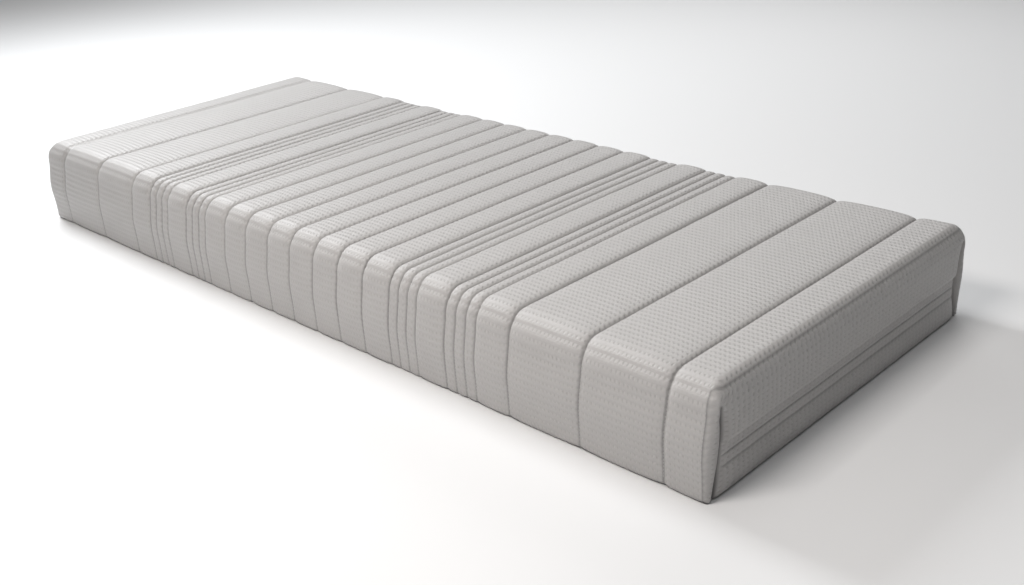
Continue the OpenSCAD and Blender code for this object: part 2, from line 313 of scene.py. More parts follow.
class Quilt:
    """The cover's form: it turns a point of a plain box into a point of the cover."""

    def __init__(self, sizes):
        self.sizes = sizes
        self.r = sizes.edge_radius
        self.end_r = sizes.foot_radius
        # Length of the rolled cloth between the top and an end face
        self.roll = math.pi / 2 * math.hypot(self.r, self.end_r) / math.sqrt(2)
        self.seams = half_seams(sizes)
        self.end_seams = [self.run_of_z(z) for z in END_SEAMS_Z]
        self.lines = self.seams + self.end_seams
        self.bottom_run = self.run_of_z(0.0)

    def run_of_z(self, z):
        """Unfolded distance from the middle to height z on the rounded end."""
        top = SEAM_LEVEL - self.r
        start = SEAM_HALF_L - self.end_r
        if z >= top:
            turn = math.acos(min(1.0, (z - top) / self.r))
            return start + self.roll * turn / (math.pi / 2)
        return start + self.roll + (top - z)

    def run_on_top(self, x):
        """Unfolded distance from the middle for a point on the box's top face."""
        start = SEAM_HALF_L - self.end_r
        if abs(x) <= start:
            return abs(x)
        turn = math.atan2(abs(x) - start, self.end_r)
        return start + self.roll * turn / (math.pi / 2)

    def run_on_end(self, z):
        """Unfolded distance from the middle for a point on the box's end face."""
        top = SEAM_LEVEL - self.r
        start = SEAM_HALF_L - self.end_r
        if z > top:
            turn = math.atan2(self.r, z - top)
            return start + self.roll * turn / (math.pi / 2)
        return self.run_of_z(z)

    def channel(self, run):
        """(share across its channel, channel's width) at an unfolded distance."""
        for low, high in zip(self.lines, self.lines[1:]):
            if run <= high:
                break
        else:
            # Below the last seam the cloth runs on to the hem
            low, high = high, self.bottom_run + 6 * MM
        share = (run - low) / (high - low)
        return min(1.0, max(0.0, share)), high - low

    def height(self, run, tall, short):
        """Height of the puffed cloth over its seams, at an unfolded distance."""
        share, width = self.channel(run)
        narrow = self.sizes.narrow_channel
        reach = smooth(narrow, self.sizes.wide_channel, width)
        full = short + (tall - short) * reach
        # Beside a seam the cloth rises just as steeply in a broad channel as in others
        rise = 1 - math.exp(-min(share, 1 - share) * width / SEAM_RISE)
        steep = STEEP_SHARE * reach
        shape = dome(share) * (1 - steep) + steep * rise
        # The seam in the roll of the end's top edge only creases the cloth, and the
        # ones lower down the end pull less than those across the top
        off_seam = (run - self.end_seams[0]) / (24 * MM)
        kept = EDGE_KEPT * math.exp(-off_seam ** 2)
        kept += END_KEPT * smooth(self.end_seams[0] + 40 * MM, self.end_seams[1], run)
        return full * (shape + (1 - shape) * kept)

    def end_puff(self, run, z):
        """Height of the cloth over the ends' box, from the last seam on the top down."""
        s = self.sizes
        below = smooth(self.seams[-1] + 20 * MM, self.end_seams[0] + 25 * MM, run)
        tall = s.crown + (s.end_crown - s.crown) * below
        group = smooth(30 * MM, 55 * MM, z) * (1 - smooth(80 * MM, 105 * MM, z))
        base = END_BASE * smooth(0, 30 * MM, z) - END_PINCH * group
        return self.height(run, tall, END_RIB) + below * base

    def side_puff(self, x, z):
        """Height of the cloth over the long sides' box and over the top."""
        s = self.sizes
        run = self.run_on_top(x)
        if run > self.seams[-1]:
            top = self.end_puff(run, SEAM_LEVEL)
        else:
            top = self.height(run, s.crown, s.narrow_crown)
        top_share = smooth(SEAM_LEVEL - 45 * MM, SEAM_LEVEL - 12 * MM, z)
        low_fade = 0.35 + 0.65 * smooth(15 * MM, 110 * MM, z)
        side = self.height(run, s.side_crown, s.side_crown * 0.62)
        return top * top_share + side * low_fade * (1 - top_share)

    def seam_distance(self, run):
        """Distance along the cloth to the nearest seam."""
        share, width = self.channel(run)
        return min(share, 1 - share) * width

    def rounded(self, p):
        """(point, normal) on the box with rounded edges, for a point p of the plain box."""
        end_r = self.end_r if p.x > 0 else self.sizes.head_radius
        radii = Vector((end_r, self.r, self.r))
        inner = Vector((
            max(-SEAM_HALF_L + radii.x, min(SEAM_HALF_L - radii.x, p.x)),
            max(-SEAM_HALF_W + radii.y, min(SEAM_HALF_W - radii.y, p.y)),
            min(SEAM_LEVEL - radii.z, p.z)))
        off = p - inner
        if off.length < 1e-9:
            return p.copy(), Vector((0, 0, -1))
        n = Vector((off.x / radii.x, off.y / radii.y, off.z / radii.z))
        flat = abs(n.x) ** CORNER_POWER + abs(n.y) ** CORNER_POWER
        size = math.sqrt((flat ** (2 / CORNER_POWER) if flat > 0 else 0) + n.z ** 2)
        point = inner + off / size
        k = flat ** (2 / CORNER_POWER - 1) if flat > 0 else 0
        normal = Vector((
            math.copysign(k * abs(n.x) ** (CORNER_POWER - 1), n.x) / radii.x,
            math.copysign(k * abs(n.y) ** (CORNER_POWER - 1), n.y) / radii.y,
            n.z / radii.z))
        return point, normal.normalized()

    def place(self, p, on_side, on_end):
        """Final place of the box point p; on_side and on_end say which walls it is on."""
        side_way = 1 if p.y > 0 else -1
        end_way = 1 if p.x > 0 else -1
        # Distance from the upright corner, measured along the end face
        from_side = SEAM_HALF_W - abs(p.y)
        point, normal = self.rounded(p)
        if on_end:
            run = self.run_on_end(p.z)
            puff = self.end_puff(run, p.z)
            # The cloth of the long side turns the corner and ends at the slit
            share = 1 - smooth(SLIT_AT - 4 * MM, SLIT_AT + 24 * MM, from_side)
            puff += (self.side_puff(SEAM_HALF_L, p.z) - puff) * share
        else:
            run = self.run_on_top(p.x)
            puff = self.side_puff(p.x, p.z)

        # Slow unevenness, and the small pulls that the stitches make beside a seam
        wave = noise.noise(Vector((p.x * 9, p.y * 5, p.z * 9 + 3)))
        soft = noise.noise(Vector((p.x * 30 + 7, p.y * 22, p.z * 26)))
        beside = math.exp(-self.seam_distance(run) / (14 * MM))
        puff += WAVE * wave + PUCKER * soft * (0.5 + beside)

        # The wall draws in a little at its foot
        if p.z < WALL_FOOT:
            rest = WALL_FOOT - p.z
            puff -= WALL_FOOT - math.sqrt(max(0.0, WALL_FOOT ** 2 - rest ** 2))
        out = point + normal * puff
        # The long walls lean out towards their lower half
        lean = smooth(LEAN_TOP, LEAN_LOW, p.z) if p.z > LEAN_LOW else 1.0
        share_y = min(1.0, max(0.0, 1 + (abs(p.y) - SEAM_HALF_W) / LEAN_BAND))
        out.y += side_way * (LEAN_OUT * lean - LEAN_IN) * share_y ** 2

        if on_end:
            out = self.open_slit(out, p, from_side, side_way, end_way)
        # Between seams the foot of the wall hangs a little lower
        if p.z < 20 * MM and not on_end:
            share, _ = self.channel(run)
            out.z += 3 * MM * (1 - dome(share)) * (1 - p.z / (20 * MM))
        out.z = max(out.z, HEM_LIFT)
        return self.zip_pocket(out, p, on_side and side_way > 0, on_end and end_way < 0)

    def open_slit(self, out, p, from_side, side_way, end_way):
        """Rolls the end face's cloth into the slit beside an upright corner."""
        below_top = SLIT_TOP - p.z
        if from_side > SLIT_REACH or below_top < -20 * MM:
            return out
        there = slit_offset(p.z)
        if from_side <= SLIT_AT:
            moved = from_side * there / SLIT_AT
        else:
            beyond = (from_side - SLIT_AT) / (SLIT_REACH - SLIT_AT)
            moved = there + beyond * (SLIT_REACH - there)
        out.y -= side_way * (moved - from_side) * smooth(-20 * MM, 2 * MM, below_top)
        # Two rolled edges of cloth with a narrow gap between them
        opened = smooth(-4 * MM, 14 * MM, below_top)
        opened *= 0.35 + 0.65 * smooth(0, 45 * MM, p.z)
        roll = 13 * MM if moved > there else min(10 * MM, there * 0.6)
        t = min(1.0, max(0.0, abs(moved - there) - SLIT_HALF) / roll)
        out.x -= end_way * SLIT_DEPTH * opened * (1 - math.sqrt(1 - (1 - t) ** 2))
        lip = math.sin(math.pi * min(1.0, moved / there)) if moved < there else 0.0
        out.x += end_way * SLIT_LIP * lip * opened
        return out

    def zip_pocket(self, out, p, on_back, on_head):
        """Sinks the band of wall that the zip lies in, on the zip side and the head end."""
        inside = SLOT_LOW < p.z < SLOT_HIGH
        if on_back and p.x < ZIP_X_END:
            if inside:
                out.y = POCKET_Y
            elif p.z <= SLOT_LOW + TINY:
                # The strip below the zip lies flat, with the care label on it
                out.y = min(out.y, HALF_W - 1.6 * MM)
        if on_head and inside and p.y > ZIP_Y_END:
            out.x = -POCKET_X
        if (on_back or on_head) and inside:
            out.y = min(out.y, POCKET_Y)
            out.x = max(out.x, -POCKET_X)
        return out


def steps(low, high, count, ease=0.55):
    """Places between low and high, closer together next to both ends."""
    places = []
    for i in range(count):
        t = i / count
        eased = 0.5 - 0.5 * math.cos(math.pi * t)
        places.append(low + (high - low) * (t * (1 - ease) + eased * ease))
    return places


def beside_seams(low, high, count):
    """Places across a channel: a few right beside both seams, the others even."""
    near = [0.0, 1.3 * MM, 2.9 * MM, 5.0 * MM]
    edge = 8 * MM
    inside = [low + edge + (high - low - 2 * edge) * i / count for i in range(count + 1)]
    return [low + d for d in near] + inside + [high - d for d in near[1:]]


def x_stations(quilt):
    """Mesh places along the length: closer at every seam and round the end's edge."""
    half = []
    for low, high in zip(quilt.seams, quilt.seams[1:]):
        if high - low < 40 * MM:
            half += steps(low, high, 8)
        else:
            half += beside_seams(low, high, round((high - low) / (11 * MM)))
    start = SEAM_HALF_L - quilt.end_r
    half += steps(quilt.seams[-1], start, 8, 0.3)
    half += [start + quilt.end_r * math.tan(math.radians(a)) for a in range(0, 46, 5)]
    return sorted({round(-x, 6) for x in half} | {round(x, 6) for x in half})


def y_stations(quilt):
    """Mesh places across the width: even rows, closer round the corner's slit."""
    start = SEAM_HALF_W - quilt.r
    near = [0, 3, 6, 9, 12, 14.5, 16.5, 17.6, 18.3, 19, 20, 21, 21.7, 22.6, 24, 26.5, 30,
            35]
    half = [SEAM_HALF_W - d * MM for d in near]
    count = round((start - 2 * MM) / quilt.sizes.row_step)
    half += [i * (start - 6 * MM) / count for i in range(count + 1)]
    return sorted({round(-y, 6) for y in half} | {round(y, 6) for y in half})


def z_stations(quilt):
    """Mesh places up the walls: closer at the end seams and at the zip's pocket."""
    top = SEAM_LEVEL - quilt.r
    lines = [0.0, 5 * MM, 11 * MM, SLOT_LOW, SLOT_LOW + 0.4 * MM, ZIP_Z,
             SLOT_HIGH - 0.4 * MM, SLOT_HIGH, 43 * MM]
    marks = [51 * MM, 71 * MM, 92 * MM, 125 * MM]
    for low, high, count in zip(marks, marks[1:], (7, 7, 8)):
        lines += steps(low, high, count)
    lines += steps(marks[-1], top, 6, 0.0)
    lines += [top + quilt.r * math.tan(math.radians(a)) for a in range(0, 46, 5)]
    return sorted({round(z, 6) for z in lines})


def lattice(stations):
    """A box cut into a lattice with the given places along x, y and z."""
    bm = bmesh.new()
    bmesh.ops.create_cube(bm, size=2)
    for axis in range(3):
        runs = [e for e in bm.edges
                if abs(e.verts[0].co[axis] - e.verts[1].co[axis]) > 1e-6]
        bmesh.ops.subdivide_edges(bm, edges=runs, cuts=len(stations[axis]) - 2)
    for v in bm.verts:
        for axis in range(3):
            last = len(stations[axis]) - 1
            v.co[axis] = stations[axis][round((v.co[axis] + 1) / 2 * last)]
    return bm


def finish_mesh(bm, name, material):
    """Turns a bmesh into a smooth piece that rides on the mattress."""
    mesh = bpy.data.meshes.new(name)
    bm.to_mesh(mesh)
    bm.free()
    for polygon in mesh.polygons:
        polygon.use_smooth = True
    piece = bpy.data.objects.new(name, mesh)
    bpy.context.scene.collection.objects.link(piece)
    mesh.materials.append(material)
    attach(piece, BODY)
    return piece


def bent(name, stations, place, material, ring=False):
    """A box cut into a lattice, with every vertex moved to where place says."""
    bm = lattice(stations)
    low, high = stations[0][0], stations[0][-1]
    if ring:
        caps = [f for f in bm.faces if all(v.co.x < low + TINY for v in f.verts)
                or all(v.co.x > high - TINY for v in f.verts)]
        bmesh.ops.delete(bm, geom=caps, context="FACES")
    for v in bm.verts:
        v.co = place(v.co.copy())
    bmesh.ops.remove_doubles(bm, verts=bm.verts[:], dist=TINY)
    bmesh.ops.dissolve_degenerate(bm, edges=bm.edges[:], dist=TINY / 2)
    bmesh.ops.recalc_face_normals(bm, faces=bm.faces[:])
    return finish_mesh(bm, name, material)


def spread(low, high, step):
    """Even places from low to high, about step apart."""
    count = max(1, round((high - low) / step))
    return [low + (high - low) * i / count for i in range(count + 1)]


def soften(p, low, high, radius):
    """The point of a box with rounded edges that stands for the point p of a plain one."""
    inner = Vector([max(low[i] + radius, min(high[i] - radius, p[i])) for i in range(3)])
    off = p - inner
    return inner + off.normalized() * radius if off.length > TINY else p


def block_stations(low, high, radius, step):
    """Mesh places for a rounded block: closer together round its edges."""
    turns = [radius * (1 - math.cos(math.radians(a))) for a in range(0, 91, 18)]
    lines = []
    for axis in range(3):
        near = [low[axis] + t for t in turns] + [high[axis] - t for t in turns]
        inside = spread(low[axis] + radius, high[axis] - radius, step)
        lines.append(sorted({round(x, 6) for x in near + inside}))
    return lines


def make_cover(scene):
    """The quilted cover: a closed, crowned form with every channel and seam."""
    quilt = Quilt(scene.mattress_cover)
    bm = lattice((x_stations(quilt), y_stations(quilt), z_stations(quilt)))
    uv = bm.loops.layers.uv.new("cloth")
    seam_pull_and_shade_layer = bm.verts.layers.float.new("seam")
    slit_shade_layer = bm.verts.layers.float.new("slit")
    under = [f for f in bm.faces if all(v.co.z < TINY for v in f.verts)]
    bmesh.ops.delete(bm, geom=under, context="FACES")
    homes = {}
    for v in bm.verts:
        on_end = abs(v.co.x) > SEAM_HALF_L - TINY
        on_side = abs(v.co.y) > SEAM_HALF_W - TINY
        homes[v] = (v.co.copy(), on_side, on_end)
    for f in bm.faces:
        ends = all(homes[v][2] for v in f.verts)
        sides = all(homes[v][1] for v in f.verts) and not ends
        for loop in f.loops:
            p = homes[loop.vert][0]
            loop[uv].uv = cloth_place(quilt, p, sides, ends)
    for v in bm.verts:
        p, on_side, on_end = homes[v]
        run = quilt.run_on_end(p.z) if on_end else quilt.run_on_top(p.x)
        # Nearness to a seam: it drives the knit's small pulls, and painted shade in the
        # seam's crease.
        v[seam_pull_and_shade_layer] = math.exp(-quilt.seam_distance(run) / (5 * MM))
        if on_end:
            # The shade lies on the panel's side of the gap, where the lip covers it
            off_slit = (SEAM_HALF_W - abs(p.y) - SLIT_AT - 2.2 * MM) / (3.2 * MM)
            # The end's seams stop at the slit
            if p.z < SLIT_TOP:
                v[seam_pull_and_shade_layer] *= smooth(SLIT_AT - 2 * MM, SLIT_AT + 16 * MM,
                                        SEAM_HALF_W - abs(p.y))
            v[slit_shade_layer] = (smooth(SLIT_TOP + 4 * MM, SLIT_TOP - 8 * MM, p.z)
                             * math.exp(-off_slit ** 2))
        v.co = quilt.place(p, on_side, on_end)
    rim = [e for e in bm.edges if e.is_boundary]
    bmesh.ops.holes_fill(bm, edges=rim, sides=0)
    bmesh.ops.recalc_face_normals(bm, faces=bm.faces[:])
    piece = finish_mesh(bm, "quilted_cover", knit_material(scene))
    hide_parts("cover_knit", "cover_wadding", "cover_backing", "zip_border")


def cloth_place(quilt, p, on_side, on_end):
    """Unfolded place on the cloth, so that the knit runs over the edges."""
    start = SEAM_HALF_W - quilt.r
    if on_end:
        return math.copysign(quilt.run_on_end(p.z), p.x), p.y
    if on_side:
        top = SEAM_LEVEL - quilt.r
        if p.z > top:
            down = start + quilt.r * math.atan2(quilt.r, p.z - top)
        else:
            down = start + quilt.r * math.pi / 2 + top - p.z
        return p.x, math.copysign(down, p.y)
    across = abs(p.y)
    if across > start:
        across = start + quilt.r * math.atan2(across - start, quilt.r)
    return math.copysign(quilt.run_on_top(p.x), p.x), math.copysign(across, p.y)


# ------------------------------------------------------- other soft parts

def make_base(scene):
    """The underside's panel, a plain cloth with fleece behind it."""
    low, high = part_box("base_fabric")[0].copy(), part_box("base_fleece")[1].copy()
    inset = Vector((BASE_INSET, BASE_INSET, 0))
    low, high = low + inset, high - inset
    radius = (high.z - low.z) * 0.45
    cloth = weave_material("base_fabric", scene.mattress_cloth.base_colour, 1.6 * MM)

    def place(p):
        q = soften(p, low, high, radius)
        # The panel sags a little between its edges, but never under the floor
        if q.z > (low.z + high.z) / 2:
            q.z += 0.5 * MM * noise.noise(Vector((p.x * 8, p.y * 8, 0)))
        return q

    piece = bent("base_panel", block_stations(low, high, radius, 40 * MM), place,
                 cloth)
    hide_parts("base_fabric", "base_fleece")


def outline(distance, half_l, half_w, corner):
    """(point, outward way) at a distance round a rectangle with rounded corners."""
    straights = (2 * (half_w - corner), 2 * (half_l - corner)) * 2
    arc = math.pi / 2 * corner
    quarter_turn = Matrix.Rotation(math.pi / 2, 3, "Z")
    way = Vector((1, 0, 0))
    centre = Vector((half_l - corner, -(half_w - corner), 0))
    for length in straights:
        along = quarter_turn @ way
        if distance <= length:
            return centre + along * distance + way * corner, way
        distance -= length
        centre = centre + along * length
        if distance <= arc:
            turned = Matrix.Rotation(distance / corner, 3, "Z") @ way
            return centre + turned * corner, turned
        distance -= arc
        way = along
    return centre + way * corner, way


def make_bindings(scene):
    """The hem tape round the underside and the tapes behind the four corner slits."""
    cloth = weave_material("binding_tape", scene.mattress_cloth.tape_colour, 0.9 * MM)
    half_l, half_w = HALF_L - HEM_INSET, HALF_W - HEM_INSET
    arc = math.pi / 2 * HEM_CORNER
    sides = [2 * (half_w - HEM_CORNER), 2 * (half_l - HEM_CORNER)] * 2
    along = spread(0, sum(sides) + 4 * arc, 12 * MM)
    for i in range(4):
        start = sum(sides[:i + 1]) + i * arc
        along += spread(start, start + arc, 3 * MM)
    along = sorted({round(x, 5) for x in along})

    def hem_place(p):
        point, way = outline(p.x, half_l, half_w, HEM_CORNER)
        return point + way * p.y + Vector((0, 0, p.z + HEM_HEIGHT))

    hem = bent("hem_binding",
               (along, [-4 * MM, -3.6 * MM, 3.6 * MM, 4 * MM],
                [-0.8 * MM, -0.4 * MM, 0.4 * MM, 0.8 * MM]),
               hem_place, cloth, ring=True)
    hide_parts("hem_tape")

    for end_way, end in ((1, "foot"), (-1, "head")):
        for side_way, side in ((-1, "front"), (1, "back")):
            node = "corner_tape_%s_%s" % (end, side)
            low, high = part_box(node)

            def tape_place(p, end_way=end_way, side_way=side_way):
                y = HALF_W - slit_offset(p.x) + p.y
                return Vector((end_way * (TAPE_X + p.z), side_way * y, p.x))

            tape = bent(node + "_binding",
                        (spread(low.z - 36 * MM, high.z - 14 * MM, 8 * MM),
                         [-6 * MM, -5.6 * MM, 0.0, 5.6 * MM, 6 * MM],
                         [-0.5 * MM, 0.0, 0.5 * MM]),
                        tape_place, cloth)
            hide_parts(node)


def make_foam(scene):
    """The two foam layers and their stockinette sleeve, inside the closed cover."""
    cloth = scene.mattress_cloth
    gap = Vector((FOAM_GAP, FOAM_GAP, 0))
    rise = Vector((0, 0, FOAM_GAP))
    core_low, core_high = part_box("support_core")
    core_low, core_high = core_low + gap, core_high - gap
    # Cuts from above, and half-way between them cuts from below
    cuts = [(start + i * CUT_PITCH, True)
            for start in CUT_STARTS for i in range(CUTS_IN_GROUP)]
    cuts += [(start + (i + 0.5) * CUT_PITCH, False)
             for start in CUT_STARTS for i in range(CUTS_IN_GROUP - 1)]
    stations = block_stations(core_low, core_high, CORE_RADIUS, 40 * MM)
    for x, _ in cuts:
        stations[0] += [x - CUT_HALF, x - CUT_HALF + 0.3 * MM, x,
                        x + CUT_HALF - 0.3 * MM, x + CUT_HALF]
    stations[0] = sorted({round(x, 6) for x in stations[0]})
    stations[2] = sorted(stations[2] + [core_low.z + CUT_DEPTH, core_high.z - CUT_DEPTH])

    def core_place(p):
        q = soften(p, core_low, core_high, CORE_RADIUS)
        for x, from_top in cuts:
            if abs(p.x - x) < CUT_HALF - 0.1 * MM:
                if from_top:
                    q.z = min(q.z, core_high.z - CUT_DEPTH)
                else:
                    q.z = max(q.z, core_low.z + CUT_DEPTH)
        return q

    core = bent("foam_core", stations, core_place,
                foam_material("cold_foam", cloth.core_colour, 420))
    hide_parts("support_core")

    low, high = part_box("memory_foam")
    low, high = low + gap, high - gap - rise
    # The slab's upper and upright edges are round like the cover's, its lower ones square
    below = low - Vector((0, 0, LAYER_RADIUS))

    def layer_place(p):
        return soften(p, below, high, LAYER_RADIUS)

    layer = bent("foam_layer", block_stations(low, high, 12 * MM, 12 * MM), layer_place,
                 foam_material("memory_foam", cloth.memory_colour, 900))
    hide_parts("memory_foam")

    low_s, high_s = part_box("inner_sleeve")
    low_s, high_s = low_s + gap * 0.7, high_s - gap * 0.7 - rise * 0.8

    def sleeve_place(p):
        return soften(p, low_s, high_s, SLEEVE_RADIUS)

    sleeve = bent("foam_sleeve", block_stations(low_s, high_s, SLEEVE_RADIUS, 40 * MM),
                  sleeve_place, weave_material("stockinette", cloth.tape_colour, 1.2 * MM))
    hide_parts("inner_sleeve")


def make_label(scene):
    """The care label, a small folded piece of satin ribbon without any print."""
    low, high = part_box("care_label")
    thick = (high.y - low.y) / 2
    middle = (low.y + high.y) / 2

    def place(p):
        hang = (high.z - p.z) / (high.z - low.z)
        wave = math.sin((p.x - low.x) / (high.x - low.x) * 2 * math.pi)
        return Vector((p.x, middle + p.y + 0.5 * MM * hang ** 2 * (1 + wave), p.z))

    label = bent("satin_label", (spread(low.x, high.x, 2 * MM), [-thick * 0.6, thick * 0.6],
                                 spread(low.z, high.z, 1.5 * MM)), place,
                 weave_material("label_satin", scene.mattress_cloth.label_colour, 0.35 * MM,
                                roughness=0.35))
    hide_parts("care_label")


def beads(spots, size):
    """Small oval beads, the stitches or the zip's teeth, at (place, along, out) spots."""
    whole = bmesh.new()
    scale = Matrix.Diagonal((*size, 1))
    # An operator's time grows with the mesh it works in, so short stretches are joined
    for first in range(0, len(spots), BEADS_AT_ONCE):
        part = bmesh.new()
        for place, along, out in spots[first:first + BEADS_AT_ONCE]:
            across = along.cross(out).normalized()
            axes = (along.normalized(), across, out.normalized())
            turn = Matrix(axes).transposed().to_4x4()
            bmesh.ops.create_icosphere(part, subdivisions=1, radius=1,
                                       matrix=Matrix.Translation(place) @ turn @ scale)
        mesh = bpy.data.meshes.new("stretch")
        part.to_mesh(mesh)
        part.free()
        whole.from_mesh(mesh)
        bpy.data.meshes.remove(mesh)
    return whole


def seam_path(x):
    """Points of the plain box along a seam: up the front, over the top, down the back."""
    level = [(y, SEAM_LEVEL) for y in spread(-SEAM_HALF_W, SEAM_HALF_W, STITCH_STEP)]
    walls = spread(12 * MM, SEAM_LEVEL, STITCH_STEP)[:-1]
    path = [(-SEAM_HALF_W, z) for z in walls] + level
    path += [(SEAM_HALF_W, z) for z in reversed(walls) if z > SLOT_HIGH + 4 * MM]
    return [Vector((x, y, z)) for y, z in path]


def make_thread(scene):
    """The quilting's stitches, and the topstitching beside each upright corner."""
    quilt = Quilt(scene.mattress_cover)
    sizes = scene.mattress_thread
    spots = []
    rows = []
    for x in sorted({*quilt.seams, *(-x for x in quilt.seams)}):
        rows.append([quilt.place(p, abs(p.y) > SEAM_HALF_W - TINY, False)
                     for p in seam_path(x)])
    for end_way in (1, -1):
        for side_way in (1, -1):
            heights = spread(46 * MM, SLIT_TOP - 4 * MM, STITCH_STEP)
            wall = [Vector((end_way * (SEAM_HALF_L - 7 * MM), side_way * SEAM_HALF_W, z))
                    for z in heights]
            rows.append([quilt.place(p, True, False) for p in wall])
    for row in rows:
        for before, here, after in zip(row, row[1:], row[2:]):
            along = after - before
            if along.length < TINY:
                continue
            out = Vector((0, here.y, here.z - HEIGHT * 0.35))
            out -= along.normalized() * out.dot(along.normalized())
            spots.append((here + out.normalized() * sizes.thick * 0.1, along, out))
    size = Vector((sizes.stitch / 2, sizes.thick / 2, sizes.thick / 2))
    piece = finish_mesh(beads(spots, size), "quilt_stitches",
                        plain_material("thread", sizes.colour, 0.5, 1500))
    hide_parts("quilt_thread")


# ----------------------------------------------------------------- zip

def zip_line(distance):
    """(point, outward way) along the zip, from its foot end round the head corner."""
    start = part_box("zip_coil_upper")[1].x
    straight = start + HALF_L - ZIP_CORNER
    arc = math.pi / 2 * ZIP_TURN
    centre = Vector((-(HALF_L - ZIP_CORNER), HALF_W - ZIP_CORNER, 0))
    if distance <= straight:
        return Vector((start - distance, centre.y + ZIP_TURN, 0)), Vector((0, 1, 0))
    if distance <= straight + arc:
        turn = (distance - straight) / ZIP_TURN
        way = Vector((-math.sin(turn), math.cos(turn), 0))
        return centre + way * ZIP_TURN, way
    rest = distance - straight - arc
    return Vector((centre.x - ZIP_TURN, centre.y - rest, 0)), Vector((-1, 0, 0))


def make_zip(scene):
    """The zip's rows of teeth; its tapes, stops, slider and pull get their finish."""
    sizes = scene.mattress_zip
    start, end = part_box("zip_coil_upper")[1].x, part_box("zip_coil_upper")[0].y
    length = (start + HALF_L - ZIP_CORNER + math.pi / 2 * ZIP_TURN
              + HALF_W - ZIP_CORNER - end)
    nylon = plain_material("zip_coil", sizes.coil_colour, 0.35, 700)
    for row, (node, way) in enumerate((("zip_coil_upper", 1), ("zip_coil_lower", -1))):
        low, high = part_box(node)
        z = (low.z + high.z) / 2 - way * 0.12 * MM
        size = Vector((sizes.tooth * 0.36, 1.12 * MM, 0.95 * MM))
        up = Vector((0, 0, 1))
        spots = []
        for i in range(int(length / sizes.tooth) - 1):
            point, out = zip_line((i + 0.5 + row * 0.5) * sizes.tooth)
            spots.append((point + up * z, out.cross(up), out))
        teeth = finish_mesh(beads(spots, size),
                            "zip_teeth_%s" % ("upper" if way > 0 else "lower"),
                            nylon)
        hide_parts(node)
    tape = weave_material("zip_tape", sizes.tape_colour, 0.7 * MM)
    metal = metal_material(sizes.metal_colour)
    for node, finish in (("zip_tape_upper", tape), ("zip_tape_lower", tape),
                         ("zip_slider", metal), ("zip_pull", metal),
                         ("zip_end_stop", metal), ("zip_start_stop", metal)):
        for slot in bpy.data.objects[node].material_slots:
            slot.material = finish


# ----------------------------------------------------------- materials

SOCKETS = {
    "roughness": "Roughness",
    "sheen": "Sheen Weight",
    "sheen_roughness": "Sheen Roughness",
    "shine": "Specular IOR Level",
    "metal": "Metallic",
}


class Nodes:
    """Short names for adding shader nodes to one material."""

    def __init__(self, name):
        self.material = bpy.data.materials.new(name)
        self.material.use_nodes = True
        self.tree = self.material.node_tree
        self.shader = self.tree.nodes["Principled BSDF"]

    def add(self, kind, **settings):
        node = self.tree.nodes.new(kind)
        for key, value in settings.items():
            setattr(node, key, value)
        return node

    def link(self, source, target):
        if hasattr(source, "is_output"):
            self.tree.links.new(source, target)
        else:
            target.default_value = source

    def math(self, operation, first, second=None, clamp=False):
        node = self.add("ShaderNodeMath", operation=operation, use_clamp=clamp)
        self.link(first, node.inputs[0])
        if second is not None:
            self.link(second, node.inputs[1])
        return node.outputs[0]

    def noise(self, place, scale, detail=2.0, roughness=0.5):
        node = self.add("ShaderNodeTexNoise")
        self.link(place, node.inputs["Vector"])
        node.inputs["Scale"].default_value = scale
        node.inputs["Detail"].default_value = detail
        node.inputs["Roughness"].default_value = roughness
        return node.outputs["Fac"]

    def ramp(self, value, low, high, dark, light):
        node = self.add("ShaderNodeMapRange", clamp=True)
        self.link(value, node.inputs["Value"])
        for name, number in (("From Min", low), ("From Max", high),
                             ("To Min", dark), ("To Max", light)):
            node.inputs[name].default_value = number
        return node.outputs["Result"]

    def shade(self, colour, share):
        """The colour times share, a socket."""
        node = self.add("ShaderNodeMix", data_type="RGBA", blend_type="MULTIPLY")
        node.inputs["Factor"].default_value = 1.0
        node.inputs["A"].default_value = (*colour, 1)
        grey = self.add("ShaderNodeCombineColor")
        for channel in range(3):
            self.link(share, grey.inputs[channel])
        self.link(grey.outputs[0], node.inputs["B"])
        return node.outputs["Result"]

    def bump(self, height, depth):
        node = self.add("ShaderNodeBump")
        node.inputs["Distance"].default_value = depth
        node.inputs["Strength"].default_value = 1.0
        self.link(height, node.inputs["Height"])
        self.link(node.outputs["Normal"], self.shader.inputs["Normal"])

    def times(self, first, second):
        return self.math("MULTIPLY", first, second)

    def finish(self, colour, share, **values):
        """Shades the colour, sets the shader's plain values and gives the material."""
        self.link(self.shade(colour, share), self.shader.inputs["Base Color"])
        for name, value in values.items():
            self.link(value, self.shader.inputs[SOCKETS[name]])
        return self.material


